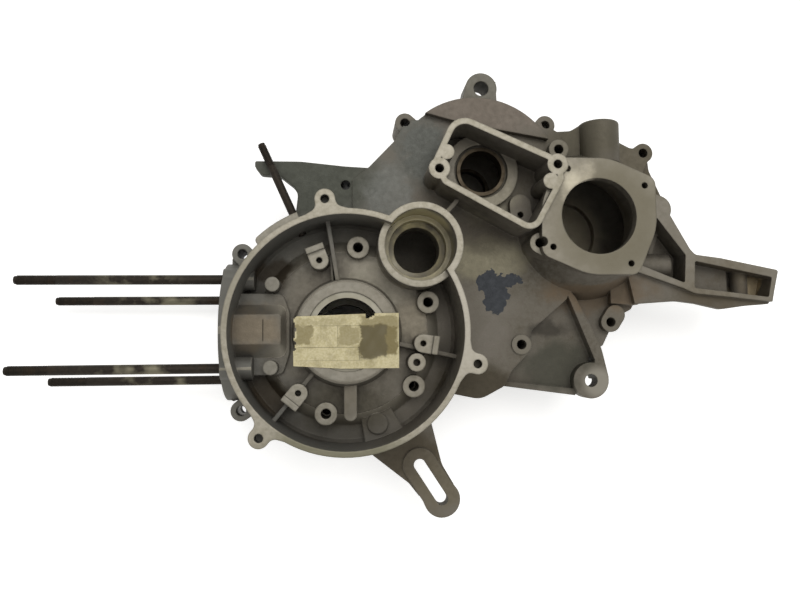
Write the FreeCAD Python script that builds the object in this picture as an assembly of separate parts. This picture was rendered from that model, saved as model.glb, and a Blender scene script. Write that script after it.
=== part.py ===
import FreeCAD, Part
import math
import os

# Engine crankcase: two castings that meet on z = 0, with studs, rings, dowels and a label.
# x runs away from the cylinder, y up the case, and z along the crankshaft towards the
# flywheel side. The origin is on the crank axis, on the joint face.

os.makedirs("parts", exist_ok=True)

# Fits
fit_gap = 0.1
reach_past = 1.0

# Heights above the joint face, front half
rim_z = 72.0
selector_rim_z = 62.0
flange_z = 58.0
boss_z = 60.0
disc_z = 28.0
floor_z = 32.0
arm_z = 30.0
chamber_z = 26.0
plate_z = 22.0
trough_z = 20.0
bracket_arm_z = 20.0
bracket_arm_thick = 9.0
lug_z = 18.0
low_plate_z = 11.0

# Depths below the joint face, rear half
rear_z = -58.0
rear_web_z = -46.0
rear_space_z = -40.0
rear_lug_z = -18.0

# Walls
case_wall = 6.0
floor_wall = 6.0
box_wall = 5.0
rib_width = 3.4

# Crank chamber and flywheel housing
chamber_r = 58.0
housing_r = 95.6
rim_wall = 4.6
skirt_r = 84.0
crank_boss_r = 39.1
crank_boss_foot_r = 45.0
floor_r = 66.5
trough_r = 76.5
crank_seat_r = 31.4
crank_ring_wall = 4.7
crank_ring_length = 25.0
crank_ring_low_z = 33.0
crank_shoulder_r = 27.5
rear_seat_depth = 15.0
ring_setback = 1.0
rear_boss_rise = 4.0
rear_rib_count = 8

# Cylinder side
cylinder_face_x = -100.0
cylinder_flange_r = 58.0
cylinder_flange_thick = 14.0
cylinder_axis_y = 2.0
spigot_r = 31.0
spigot_wall = 9.0
bridge_top_z = 45.0
bridge_end_x = -49.0
bridge_base_z = 36.0
post_z = 48.0
post_r = 5.9
stud_square = 73.0
stud_turn = 9.4
stud_r = 4.0
stud_core_r = 3.4
stud_depth = 21.0
stud_boss_r = 9.0
stud_boss_past = 4.0
front_stud_reach = 165.0
rear_stud_reach = 161.0
stud_chamfer = 1.0

# Intake pad and its stud
pad_angle_from = 112.5
pad_angle_to = 133.0
pad_r = 104.5
pad_low_z = 8.0
pad_high_z = 50.0
intake_stud_angle = 114.2
intake_stud_z = 26.0
intake_stud_r = 3.5
intake_stud_reach = 174.2
intake_stud_depth = 11.0

# Starter bore
starter_x = 57.8
starter_y = 67.8
starter_boss_r = 33.3
starter_recess_r = 28.0
starter_recess_depth = 28.0
starter_step_r = 23.7
starter_step_depth = 9.0
starter_hole_r = 19.1
starter_cut_down = 8.6

# Gear shaft bore inside the selector box
gear_x = 114.5
gear_y = 136.5
gear_bore_r = 20.9
gear_bush_wall = 3.0
gear_boss_r = 32.0
gear_boss_z = 30.0
gear_bush_length = 13.0
gear_rear_bush_length = 9.0
gear_groove_r = 23.0
gear_groove_depth = 4.0
gear_seat_past = 0.5

# Differential bore and flange
diff_x = 206.3
diff_y = 93.2
diff_bore_r = 31.4
diff_flange_r = 48.3
diff_flange_thick = 8.0
diff_bolt_circle_r = 46.8
diff_bolt_angle = 33.2
diff_bolt_r = 2.6
diff_lobe_r = 9.2
diff_foot_r = 66.0
diff_neck_r = 46.0
diff_space_foot_r = 43.0
diff_space_r = 38.0
diff_bolt_depth = 16.0
diff_bolt_wall = 4.6
diff_bolt_post = 12.0
diff_rear_floor = 10.0

# Joining screws
joint_hole_r = 4.1
joint_lug_r = 8.6
inner_boss_r = 9.2
inner_boss_z = 39.0
joint_thread_depth = 24.0
dowel_r = 6.0
dowel_length = 16.0
dowel_end_gap = 0.5
label_thick = 0.6

# Stator and screw bosses in the housing
stator_circle_r = 61.7
stator_angles = (111.0, 231.0, 351.0)
stator_boss_r = 7.5
stator_boss_z = 50.0
stator_hole_r = 2.4
stator_tab_width = 15.0
stator_tab_thick = 4.8
stator_tab_rise = 3.0
rim_lug_circle_r = 104.0
rim_lug_angles = (99.4, 230.1, 345.5)
rim_lug_r = 8.0
rim_lug_foot = 17.0
rim_lug_thick = 12.0
rim_hole_r = 3.4
rim_hole_depth = 9.5
clip_post = (55.4, -24.8)
clip_post_r = 7.3
clip_post_z = 51.0
clip_post_hole_r = 2.8
clip_post_depth = 11.0
corner_post = (216.4, -8.7)
corner_post_r = 4.5
corner_post_hole_r = 1.8
corner_post_depth = 8.0

# Mounting features
arm_ledge_high_z = 25.0
arm_ledge_low_z = 18.0
arm_end_floor_z = 9.0
arm_near_floor_z = 7.0
arm_shelf_z = 15.0
arm_hollow_top_z = 4.0
arm_bulge_r = 11.0
arm_column_r = 7.3
slot_from = (60.9, -112.0)
slot_to = (79.6, -141.0)
slot_half_width = 5.0
slot_pad_r = 14.4
bracket_high_z = 10.0
bracket_pad_rise = 2.0
bracket_tip_past = 1.0
gusset_lug = (208.4, -42.4)
gusset_lug_r = 15.4
gusset_hole_r = 5.5
gusset_lug_low_z = 7.6
gusset_lug_high_z = 22.0
gusset_web_low_z = 5.0
gusset_rib_z = 15.0
top_lug = (124.4, 225.3)
top_lug_r = 14.6
top_lug_hole_r = 6.9
top_lug_low_z = -40.0
top_lug_high_z = -12.0

# Disc over the gear train
disc_x = 111.2
disc_y = 127.4
disc_r = 74.3

# Filler boss
filler_x = 222.0
filler_z = 20.0
filler_top_y = 182.4
filler_foot_y = 146.0
filler_r = 17.3
filler_bore_r = 10.5
filler_floor = 6.0
filler_round = 2.0

# Places of the joining screws outside the housing, and inside it
outer_screws = (
    (-87.3, 66.9),
    (-87.6, -63.7),
    (-0.8, 126.0),
    (50.8, 181.5),
    (174.7, 181.4),
    (263.1, 157.8),
    (228.9, 7.7),
)
chamber_screws = ((182.7, 156.6), (158.6, 72.0), (148.0, -11.1))
chamber_screw_tops = (30.0, 50.0, plate_z + 1.5)
gear_side_screw = (66.5, 24.3)
housing_screws = ((9.2, 69.6), gear_side_screw, (-17.3, -65.4), (54.0, -44.3))
dowel_places = {"left": outer_screws[1], "right": outer_screws[4]}

# Plan of the gear case, seen from the flywheel side: x, y and corner radius
gear_case_plan = (
    (20.0, 20.0, 0.0),
    (5.0, 100.0, 0.0),
    (5.0, 130.0, 0.0),
    (19.4, 141.5, 3.0),
    (40.6, 163.7, 6.0),
    (52.0, 183.0, 3.0),
    (175.0, 182.0, 3.0),
    (188.0, 176.0, 5.0),
    (239.0, 168.0, 3.0),
    (252.0, 161.5, 8.0),
    (269.0, 161.5, 5.0),
    (270.8, 143.6, 12.0),
    (285.0, 112.0, 12.0),
    (268.0, 55.0, 10.0),
    (250.0, 19.0, 5.0),
    (236.0, 12.0, 4.0),
    (223.0, -13.5, 4.0),
    (142.0, -17.0, 4.0),
    (139.5, -33.0, 10.0),
    (133.0, -46.0, 8.0),
    (112.0, -57.0, 18.0),
    (88.0, -52.0, 10.0),
    (55.0, -40.0, 0.0),
)

# The raised part of the gear case, left of the differential
plateau_plan = (
    (20.0, 20.0, 0.0),
    (5.0, 100.0, 0.0),
    (5.0, 130.0, 0.0),
    (19.4, 141.5, 3.0),
    (40.6, 163.7, 6.0),
    (52.0, 183.0, 3.0),
    (172.0, 182.0, 3.0),
    (188.0, 172.0, 8.0),
    (190.0, 60.0, 8.0),
    (190.0, 28.5, 8.0),
    (156.5, 0.4, 8.0),
    (157.5, -15.0, 8.0),
    (139.5, -33.0, 10.0),
    (133.0, -46.0, 8.0),
    (112.0, -57.0, 18.0),
    (88.0, -52.0, 10.0),
    (55.0, -40.0, 0.0),
)

selector_plan = (
    (87.9, 176.9, 16.0),
    (171.5, 140.4, 4.0),
    (177.0, 123.0, 6.0),
    (151.6, 77.2, 12.0),
    (77.0, 118.0, 7.0),
    (68.2, 135.0, 7.0),
)
selector_screws = ((74.3, 130.4), (171.4, 134.9))
selector_screw_r = 8.7
selector_bumps = ((80.4, 144.0, 6.2), (165.6, 121.0, 6.6))
selector_hole_r = 3.6
selector_hole_depth = 20.0
selector_pad_from = (148.5, 108.0)
selector_pad_to = (149.5, 98.0)
selector_pad_r = 9.5
selector_pad_z = 28.0
selector_pad_hole = (148.4, 99.6)
selector_pad_hole_r = 2.6
selector_rib_from = (79.0, 94.6)
selector_rib_to = (90.5, 107.4)
selector_rib_z = 46.0


def at(x, y, z=0.0):
    return FreeCAD.Vector(x, y, z)


def ring_point(radius, degrees):
    angle = math.radians(degrees)
    return radius * math.cos(angle), radius * math.sin(angle)


def disc(x, y, radius, low, high):
    return Part.makeCylinder(radius, high - low, at(x, y, low))


def rod(start, direction, length, radius):
    return Part.makeCylinder(radius, length, start, direction)


def outline(corners):
    # A closed plan of straight sides joined by arcs at its corners.
    edges = []
    points = [at(x, y) for x, y, radius in corners]
    tangents = []
    for index, (x, y, radius) in enumerate(corners):
        here = points[index]
        back = (points[index - 1] - here).normalize()
        ahead = (points[(index + 1) % len(points)] - here).normalize()
        if radius == 0.0:
            tangents.append((here, None, here))
            continue
        half = back.getAngle(ahead) / 2.0
        reach = radius / math.tan(half)
        middle = (back + ahead).normalize() * (radius / math.sin(half) - radius)
        tangents.append((here + back * reach, here + middle, here + ahead * reach))
    for index, (enter, middle, leave) in enumerate(tangents):
        if middle is not None:
            edges.append(Part.Arc(enter, middle, leave).toShape())
        following = tangents[(index + 1) % len(tangents)][0]
        edges.append(Part.makeLine(leave, following))
    return Part.Wire(edges)


def lift(wire, low, high):
    face = Part.Face(wire)
    face.translate(at(0.0, 0.0, low))
    return face.extrude(at(0.0, 0.0, high - low))


def prism(corners, low, high):
    return lift(outline(corners), low, high)


def plain_prism(points, low, high):
    return prism([(x, y, 0.0) for x, y in points], low, high)


def shrunk(corners, amount, low, high):
    return lift(outline(corners).makeOffset2D(-amount), low, high)


def bar(start, end, radius, low, high):
    # A straight bar with round ends.
    along = at(*end) - at(*start)
    side = at(-along.y, along.x).normalize() * radius
    begin, finish = at(*start), at(*end)
    tip = along.normalize() * radius
    wire = Part.Wire([
        Part.makeLine(begin + side, finish + side),
        Part.Arc(finish + side, finish + tip, finish - side).toShape(),
        Part.makeLine(finish - side, begin - side),
        Part.Arc(begin - side, begin - tip, begin + side).toShape(),
    ])
    return lift(wire, low, high)


def turned(profile):
    # A solid of revolution about the crank axis, from points of radius and height.
    points = [at(radius, 0.0, z) for radius, z in profile]
    face = Part.Face(Part.makePolygon(points + [points[0]]))
    return face.revolve(at(0.0, 0.0), at(0.0, 0.0, 1.0), 360.0)


def joined(shapes):
    return shapes[0].multiFuse(shapes[1:]).removeSplitter()


def block(x_from, x_to, y_from, y_to, low, high):
    return Part.makeBox(x_to - x_from, y_to - y_from, high - low, at(x_from, y_from, low))


def stud_places():
    # The four cylinder studs as y and z, on a square turned about the cylinder axis.
    half = stud_square / 2.0
    turn = math.radians(stud_turn)
    places = {}
    for name, y, z in (
        ("front_top", half, half),
        ("front_bottom", -half, half),
        ("rear_top", half, -half),
        ("rear_bottom", -half, -half),
    ):
        turned_y = y * math.cos(turn) + z * math.sin(turn) + cylinder_axis_y
        turned_z = z * math.cos(turn) - y * math.sin(turn)
        places[name] = (turned_y, turned_z)
    return places


def stud_reach(name):
    return front_stud_reach if name.startswith("front") else rear_stud_reach


def stud_rod(name, radius, start_x, end_x):
    y, z = stud_places()[name]
    return rod(at(start_x, y, z), at(1.0, 0.0), end_x - start_x, radius)


def half_space(front):
    size = 600.0
    low, high = (0.0, size) if front else (-size, 0.0)
    return block(-size, size, -size, size, low, high)


def cylinder_side(front):
    # Flange, spigot passage and stud bosses, for the half in front of or behind the joint.
    far = cylinder_face_x + cylinder_flange_thick
    pieces = [
        rod(at(cylinder_face_x, cylinder_axis_y), at(1.0, 0.0), far - cylinder_face_x,
            cylinder_flange_r),
        rod(at(cylinder_face_x, cylinder_axis_y), at(1.0, 0.0), bridge_end_x - cylinder_face_x,
            spigot_r + spigot_wall),
    ]
    side = "front" if front else "rear"
    for name in stud_places():
        if name.startswith(side):
            end = cylinder_face_x + stud_depth + stud_boss_past
            pieces.append(stud_rod(name, stud_boss_r, cylinder_face_x, end))
    return joined(pieces).common(half_space(front))


def cylinder_cuts():
    cuts = [rod(at(cylinder_face_x - reach_past, cylinder_axis_y), at(1.0, 0.0),
                -cylinder_face_x - chamber_r + 25.0, spigot_r)]
    for name in stud_places():
        cuts.append(stud_rod(name, stud_core_r + fit_gap, cylinder_face_x - reach_past,
                             cylinder_face_x + stud_depth))
    return cuts


def left_plate(low, high):
    # The joint flange between the two lugs beside the cylinder.
    return prism(((-96.2, 66.0, 2.0), (-96.2, -57.0, 2.0), (-70.0, -45.0, 0.0),
                  (-40.0, 0.0, 0.0), (-70.0, 50.0, 0.0)), low, high)


def joint_lugs(low, high):
    # Round lugs, each running back into the case.
    roots = ((-60.0, 38.0), (-55.0, -38.0), (8.0, 108.0), (66.0, 168.0), (162.0, 166.0),
             (256.0, 152.0), (233.0, 14.0))
    lugs = [bar(place, root, joint_lug_r, low, high) for place, root in zip(outer_screws, roots)]
    return joined(lugs)


def gear_space(low, high, plan):
    # The hollow for the gears, clear of the crank chamber's wall.
    space = shrunk(plan, case_wall, low, high)
    return space.cut(disc(0.0, 0.0, chamber_r + case_wall, low, high))


def screw_columns(low, tops):
    columns = [disc(x, y, joint_lug_r, low, top) for (x, y), top in zip(chamber_screws, tops)]
    x, y = gear_side_screw
    columns.append(disc(x, y, joint_lug_r, low, min(tops)))
    return joined(columns)


def joint_holes(low, high, places):
    return [disc(x, y, joint_hole_r, low, high) for x, y in places]


def dowel_bores():
    half = dowel_length / 2.0
    return [disc(x, y, dowel_r + fit_gap, -half, half) for x, y in dowel_places.values()]


def upper_bracket():
    # The flat arm that reaches up and left past the intake stud.
    plan = ((19.3, 141.0, 0.0), (-1.2, 142.1, 0.0), (-39.2, 145.9, 60.0), (-77.0, 145.8, 1.5),
            (-77.0, 141.0, 2.0), (-72.0, 134.4, 4.0), (-56.0, 133.3, 8.0), (-40.5, 121.0, 12.0),
            (-43.0, 100.0, 0.0), (-30.0, 86.0, 0.0), (12.0, 90.0, 0.0))
    web = prism(plan, bracket_arm_z - bracket_arm_thick, bracket_arm_z)
    foot = prism(((12.0, 138.0, 0.0), (-8.5, 139.0, 4.0), (-8.5, 112.0, 8.0),
                  (-34.0, 98.0, 6.0), (-34.0, 78.0, 0.0), (12.0, 80.0, 0.0)), 0.0, bracket_arm_z)
    return joined([web, foot])


def slotted_bracket():
    # The adjusting lug below the housing, with its raised pad.
    plan = ((10.0, -80.0, 0.0), (19.8, -102.3, 4.0), (51.5, -127.2, 8.0), (60.0, -138.0, 0.0),
            (slot_to[0], slot_to[1], 0.0), (90.0, -129.0, 0.0), (80.0, -112.0, 20.0),
            (71.5, -77.0, 0.0), (60.0, -50.0, 0.0), (20.0, -60.0, 0.0))
    top = bracket_high_z + bracket_pad_rise
    web = prism(plan, 0.0, bracket_high_z)
    pad = bar(slot_from, slot_to, slot_pad_r, 0.0, top)
    tip = disc(slot_to[0], slot_to[1], slot_pad_r + bracket_tip_past, 0.0, top)
    return joined([web, pad, tip])


def gusset():
    # A webbed lug on the lower right: thin web, a rib along each edge and a through boss.
    x, y = gusset_lug
    web = prism(((134.0, -45.0, 0.0), (195.2, -53.0, 0.0), (x, y, 0.0), (212.0, -10.0, 0.0),
                 (190.0, 20.0, 0.0), (145.0, -10.0, 0.0), (136.0, -20.0, 0.0)),
                gusset_web_low_z, low_plate_z)
    foot_rib = prism(((130.0, -43.0, 0.0), (133.5, -46.5, 2.0), (196.0, -55.2, 0.0),
                      (200.0, -50.0, 0.0), (134.0, -42.4, 0.0)), gusset_web_low_z, gusset_rib_z)
    edge_rib = prism(((186.5, 42.0, 0.0), (191.5, 36.0, 8.0), (196.8, 28.9, 20.0),
                      (217.6, -12.2, 60.0), (223.9, -40.0, 0.0), (x, y, 0.0),
                      (212.2, -25.0, 0.0), (190.6, 28.9, 0.0)), 0.0, plate_z)
    boss = disc(x, y, gusset_lug_r, gusset_lug_low_z, gusset_lug_high_z)
    return joined([web, foot_rib, edge_rib, boss])


def mounting_arm():
    # The hollow arm on the right, open towards the flywheel side.
    plan = ((240.0, 60.0, 0.0), (248.0, 23.0, 0.0), (286.0, 25.4, 30.0), (303.7, 23.1, 20.0),
            (325.9, 18.0, 12.0), (348.7, 21.0, 20.0), (369.0, 22.4, 2.0), (371.6, 34.2, 0.0),
            (375.9, 51.7, 2.0), (323.4, 62.3, 0.0), (301.2, 65.2, 6.0), (296.6, 70.1, 6.0),
            (279.9, 99.8, 0.0), (285.0, 112.0, 12.0), (262.0, 120.0, 0.0))
    body = prism(plan, 0.0, arm_z)
    below = ((240.0, 20.0, 0.0), (286.0, 20.0, 0.0), (326.0, 10.0, 0.0), (372.0, 16.0, 0.0),
             (372.0, 23.8, 0.0), (331.0, 28.4, 20.0), (299.7, 31.6, 20.0), (289.0, 36.4, 0.0),
             (250.0, 50.0, 0.0), (240.0, 50.0, 0.0))
    ledge = joined([prism(below, arm_ledge_high_z, arm_z + reach_past),
                    prism(below, -reach_past, arm_ledge_low_z)])
    end_pocket = prism(((300.7, 59.8, 1.5), (370.0, 45.6, 1.5), (366.3, 28.1, 1.5),
                        (331.1, 32.6, 10.0), (299.7, 36.2, 1.5)), arm_end_floor_z,
                       arm_z + reach_past)
    near_pocket = prism(((267.5, 98.0, 1.0), (292.6, 65.0, 2.0), (291.0, 40.6, 1.5),
                         (251.5, 56.4, 1.0)), arm_near_floor_z, arm_z + reach_past)
    hollow = block(256.0, 366.0, 28.0, 60.0, -reach_past, arm_hollow_top_z)
    bulge = rod(at(240.0, 57.0, 12.0), at(1.0, 0.0), 43.0, arm_bulge_r)
    column = rod(at(348.4, 26.0, 14.0), at(0.0, 1.0), 28.0, arm_column_r)
    shallow = block(297.0, 337.0, 30.0, 62.0, arm_hollow_top_z + 1.0, arm_shelf_z)
    arm = body.cut(joined([ledge, end_pocket, near_pocket]))
    return joined([arm, bulge.common(body), column.common(body), shallow.common(body)]), hollow


def filler():
    # The boss that points up, beside the differential.
    boss = rod(at(filler_x, filler_foot_y, filler_z), at(0.0, 1.0),
               filler_top_y - filler_foot_y, filler_r)
    boss = boss.makeFillet(filler_round, [edge for edge in boss.Edges
                                          if abs(edge.BoundBox.YMin - filler_top_y) < 0.01])
    x = filler_x
    left = prism(((x - 48.0, 150.0, 0.0), (x - 41.0, 175.0, 4.0), (x - 25.5, 176.0, 8.0),
                  (x - 15.0, filler_top_y, 3.0), (x, filler_top_y, 0.0),
                  (x, 138.0, 0.0)), 0.0, filler_z)
    right = prism(((x, 138.0, 0.0), (x, 176.0, 0.0), (x + 17.0, 168.0, 3.0),
                   (x + 30.0, 161.5, 8.0), (x + 40.0, 163.5, 0.0), (x + 45.0, 150.0, 0.0),
                   (x + 36.0, 132.0, 0.0)), 0.0, lug_z)
    return joined([boss, left, right])


def lobed_plan(radius, circle_r, lobe_r, first_angle, count):
    # A round plan with lobes, joined by straight lines that touch both circles.
    spread = math.degrees(math.acos((radius - lobe_r) / circle_r))
    pitch = 360.0 / count
    edges = []
    for turn in range(count):
        angle = first_angle + pitch * turn
        centre = at(*ring_point(circle_r, angle))
        enter, tip, leave = [centre + at(*ring_point(lobe_r, angle + step))
                             for step in (-spread, 0.0, spread)]
        start = at(*ring_point(radius, angle - spread))
        end = at(*ring_point(radius, angle + spread))
        middle = at(*ring_point(radius, angle + pitch / 2.0))
        following = at(*ring_point(radius, angle + pitch - spread))
        edges.append(Part.makeLine(start, enter))
        edges.append(Part.Arc(enter, tip, leave).toShape())
        edges.append(Part.makeLine(leave, end))
        edges.append(Part.Arc(end, middle, following).toShape())
    return Part.Wire(edges)


def differential_bolts():
    places = []
    for turn in range(4):
        dx, dy = ring_point(diff_bolt_circle_r, diff_bolt_angle + 90.0 * turn)
        places.append((diff_x + dx, diff_y + dy))
    return places


def differential_housing():
    # A lobed flange on a neck that widens into the case, with a web to the screw beside it.
    low = flange_z - diff_flange_thick
    plate = lift(lobed_plan(diff_flange_r, diff_bolt_circle_r, diff_lobe_r, diff_bolt_angle, 4),
                 low, flange_z)
    plate.translate(at(diff_x, diff_y))
    neck = Part.makeCone(diff_foot_r, diff_neck_r, low - low_plate_z,
                         at(diff_x, diff_y, low_plate_z))
    foot = prism(gear_case_plan, 0.0, flange_z)
    pieces = [plate, neck.common(foot).cut(selector_hollow())]
    bolts = differential_bolts()
    for x, y in bolts:
        pieces.append(disc(x, y, diff_bolt_r + diff_bolt_wall, low - diff_bolt_post, low))
    pieces.append(bar(chamber_screws[1], bolts[2], joint_lug_r, plate_z, chamber_screw_tops[1]))
    return joined(pieces)


def differential_holes():
    return [disc(x, y, diff_bolt_r, flange_z - diff_bolt_depth, flange_z + reach_past)
            for x, y in differential_bolts()]


def selector_hollow():
    return shrunk(selector_plan, box_wall, plate_z, selector_rim_z + reach_past)


def selector_box():
    # A walled box on the gear case, round the gear shaft bore.
    outer = prism(selector_plan, 0.0, selector_rim_z)
    pieces = [outer.cut(selector_hollow())]
    for x, y in selector_screws:
        pieces.append(disc(x, y, selector_screw_r, 0.0, selector_rim_z))
    for x, y, radius in selector_bumps:
        pieces.append(disc(x, y, radius, 0.0, selector_rim_z))
    boss = disc(gear_x, gear_y, gear_boss_r, 0.0, gear_boss_z)
    pieces.append(boss.common(outer))
    pieces.append(bar(selector_pad_from, selector_pad_to, selector_pad_r, 0.0, selector_pad_z))
    pieces.append(bar(selector_rib_from, selector_rib_to, rib_width / 2.0, 0.0, selector_rib_z))
    return joined(pieces)


def flywheel_housing():
    # The open cup round the flywheel, before its floor gets its bosses and ribs.
    cup = turned(((0.0, 0.0), (chamber_r + case_wall, 0.0), (chamber_r + case_wall, 9.0),
                  (skirt_r, 13.0), (housing_r, 26.0), (housing_r, rim_z), (0.0, rim_z)))
    lugs = []
    for angle in rim_lug_angles:
        neck = prism(((housing_r - rim_wall, -rim_lug_foot, 0.0),
                      (housing_r - 1.6, -rim_lug_foot, 0.0),
                      (housing_r + 2.2, -rim_lug_r, 6.0), (rim_lug_circle_r, -rim_lug_r, 0.0),
                      (rim_lug_circle_r, rim_lug_r, 0.0), (housing_r + 2.2, rim_lug_r, 6.0),
                      (housing_r - 1.6, rim_lug_foot, 0.0),
                      (housing_r - rim_wall, rim_lug_foot, 0.0)),
                     rim_z - rim_lug_thick, rim_z)
        lug = joined([neck, disc(rim_lug_circle_r, 0.0, rim_lug_r, rim_z - rim_lug_thick, rim_z)])
        lug.rotate(at(0.0, 0.0), at(0.0, 0.0, 1.0), angle)
        lugs.append(lug)
    starter = disc(starter_x, starter_y, starter_boss_r, low_plate_z, rim_z)
    return joined([cup, starter] + lugs)


def intake_pad():
    ring = disc(0.0, 0.0, pad_r, pad_low_z, pad_high_z).cut(
        disc(0.0, 0.0, housing_r - rim_wall, pad_low_z, pad_high_z))
    reach = pad_r * 1.3
    wedge = Part.makeCylinder(reach, pad_high_z - pad_low_z, at(0.0, 0.0, pad_low_z),
                              at(0.0, 0.0, 1.0), pad_angle_to - pad_angle_from)
    wedge.rotate(at(0.0, 0.0), at(0.0, 0.0, 1.0), pad_angle_from)
    end_x, end_y = ring_point(pad_r - 4.0, pad_angle_to)
    end = disc(end_x, end_y, 4.0, pad_low_z, pad_high_z)
    return joined([ring.common(wedge), end])


def housing_space():
    # What is hollow inside the flywheel housing, with the starter boss left standing.
    inner = housing_r - rim_wall
    space = turned(((0.0, floor_z), (floor_r, floor_z), (trough_r, trough_z), (inner - 3.0, trough_z),
                    (inner, trough_z + 3.0), (inner, rim_z + reach_past),
                    (0.0, rim_z + reach_past)))
    starter = disc(starter_x, starter_y, starter_boss_r, 0.0, rim_z - starter_cut_down)
    return space.cut(starter)


def radial_rib(degrees, inner_r, outer_r, width, top):
    start = ring_point(inner_r, degrees)
    end = ring_point(outer_r, degrees)
    return bar(start, end, width / 2.0, trough_z - 2.0, top)


def stator_boss(degrees):
    x, y = ring_point(stator_circle_r, degrees)
    boss = disc(x, y, stator_boss_r, trough_z - 2.0, stator_boss_z)
    half = stator_tab_width / 2.0
    seat = block(0.0, stator_boss_r, -half, half, trough_z - 2.0, stator_boss_z)
    tab = block(stator_boss_r, stator_boss_r + stator_tab_thick, -half, half, trough_z - 2.0,
                stator_boss_z + stator_tab_rise)
    ledge = joined([seat, tab])
    ledge.rotate(at(0.0, 0.0), at(0.0, 0.0, 1.0), degrees)
    ledge.translate(at(x, y))
    return joined([boss, ledge])


def housing_details():
    # Crank boss, stator bosses, screw bosses, posts, ribs and the pad on the housing floor.
    inner = housing_r - rim_wall
    low = trough_z - 2.0
    crank_boss = turned(((0.0, low), (crank_boss_foot_r, low), (crank_boss_foot_r, floor_z),
                         (crank_boss_r + 2.0, boss_z - 3.0), (crank_boss_r, boss_z),
                         (0.0, boss_z)))
    pieces = [crank_boss]
    for angle in stator_angles:
        pieces.append(stator_boss(angle))
    for x, y in housing_screws:
        pieces.append(disc(x, y, inner_boss_r, low, inner_boss_z))
    pieces.append(disc(clip_post[0], clip_post[1], clip_post_r, low, clip_post_z))
    pieces.append(bar((-7.6, 42.0), (-15.4, 90.0), rib_width / 2.0, low, 46.0))
    pieces.append(bar((-11.6, 42.0), (-13.0, 62.0), 0.9, low, 42.0))
    pieces.append(radial_rib(stator_angles[1] - 1.0, 42.0, inner, rib_width, 42.0))
    pieces.append(radial_rib(stator_angles[2] - 4.0, 42.0, inner, rib_width, 42.0))
    pieces.append(bar((2.4, -40.0), (2.4, -66.0), 5.2, low, 44.0))
    pad = disc(0.0, 0.0, inner, low, trough_z + 6.0).cut(disc(0.0, 0.0, 64.0, low, rim_z))
    wedge = Part.makeCylinder(inner, rim_z, at(0.0, 0.0), at(0.0, 0.0, 1.0), 21.0)
    wedge.rotate(at(0.0, 0.0), at(0.0, 0.0, 1.0), -81.0)
    pieces.append(pad.common(wedge))
    pieces.append(disc(24.8, -75.0, 8.6, low, trough_z + 8.0))
    return joined(pieces)


def bridge():
    # The bulge over the cylinder spigot, inside the housing, with its flat-topped block.
    low = trough_z - 2.0
    start = cylinder_face_x + 2.0
    base = prism(((start, 32.0, 0.0), (-52.0, 32.0, 7.0), (-46.5, 16.0, 12.0),
                  (-46.5, -16.0, 12.0), (-52.0, -34.0, 7.0), (start, -34.0, 0.0)),
                 low, bridge_base_z)
    foot = outline(((start, 23.0, 0.0), (bridge_end_x, 23.0, 7.0), (bridge_end_x, -20.0, 7.0),
                    (start, -20.0, 0.0)))
    top = outline(((start, 14.5, 0.0), (bridge_end_x - 4.0, 14.5, 3.0),
                   (bridge_end_x - 4.0, -9.0, 3.0), (start, -9.0, 0.0)))
    foot.translate(at(0.0, 0.0, bridge_base_z))
    top.translate(at(0.0, 0.0, bridge_top_z))
    raised = Part.makeLoft([foot, top], True, True)
    end = cylinder_face_x + stud_depth + stud_boss_past
    studs = [stud_rod(name, stud_boss_r, start, end) for name in ("front_top", "front_bottom")]
    posts = [disc(x, y, post_r, low, post_z) for x, y in ((-59.5, 38.7), (-60.8, -27.8))]
    return joined([base, raised] + studs + posts)


def starter_cuts():
    step_z = rim_z - starter_recess_depth
    hole_z = step_z - starter_step_depth
    return [
        disc(starter_x, starter_y, starter_recess_r, step_z, rim_z + reach_past),
        disc(starter_x, starter_y, starter_step_r, hole_z, step_z),
        disc(starter_x, starter_y, starter_hole_r, 0.0, hole_z),
    ]


def front_shell():
    # The casting's outer form, with the selector box's inside already open.
    disc_top = disc(disc_x, disc_y, disc_r, 0.0, disc_z)
    above = plain_prism(((30.0, 196.0), (72.0, 186.5), (104.0, 178.0), (135.0, 173.0),
                         (200.0, 162.0), (200.0, 230.0), (30.0, 230.0)), 0.0, disc_z)
    arm, arm_hollow = mounting_arm()
    pieces = [
        flywheel_housing(),
        prism(gear_case_plan, 0.0, low_plate_z),
        prism(plateau_plan, 0.0, plate_z),
        disc_top.common(above),
        disc(disc_x, disc_y, disc_r, 0.0, plate_z),
        joint_lugs(0.0, lug_z),
        left_plate(0.0, lug_z - 4.0),
        cylinder_side(True),
        upper_bracket(),
        slotted_bracket(),
        gusset(),
        arm,
        filler(),
        intake_pad(),
        selector_box(),
        differential_housing(),
        screw_columns(0.0, chamber_screw_tops),
        disc(corner_post[0], corner_post[1], corner_post_r, 0.0, low_plate_z),
        plain_prism(((229.0, 44.0), (229.0, 24.0), (250.0, 22.4), (250.0, 44.0)), 0.0, 19.0),
        bar((250.6, 25.4), (248.6, 36.0), 3.0, 0.0, plate_z),
    ]
    return joined(pieces), arm_hollow


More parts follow.
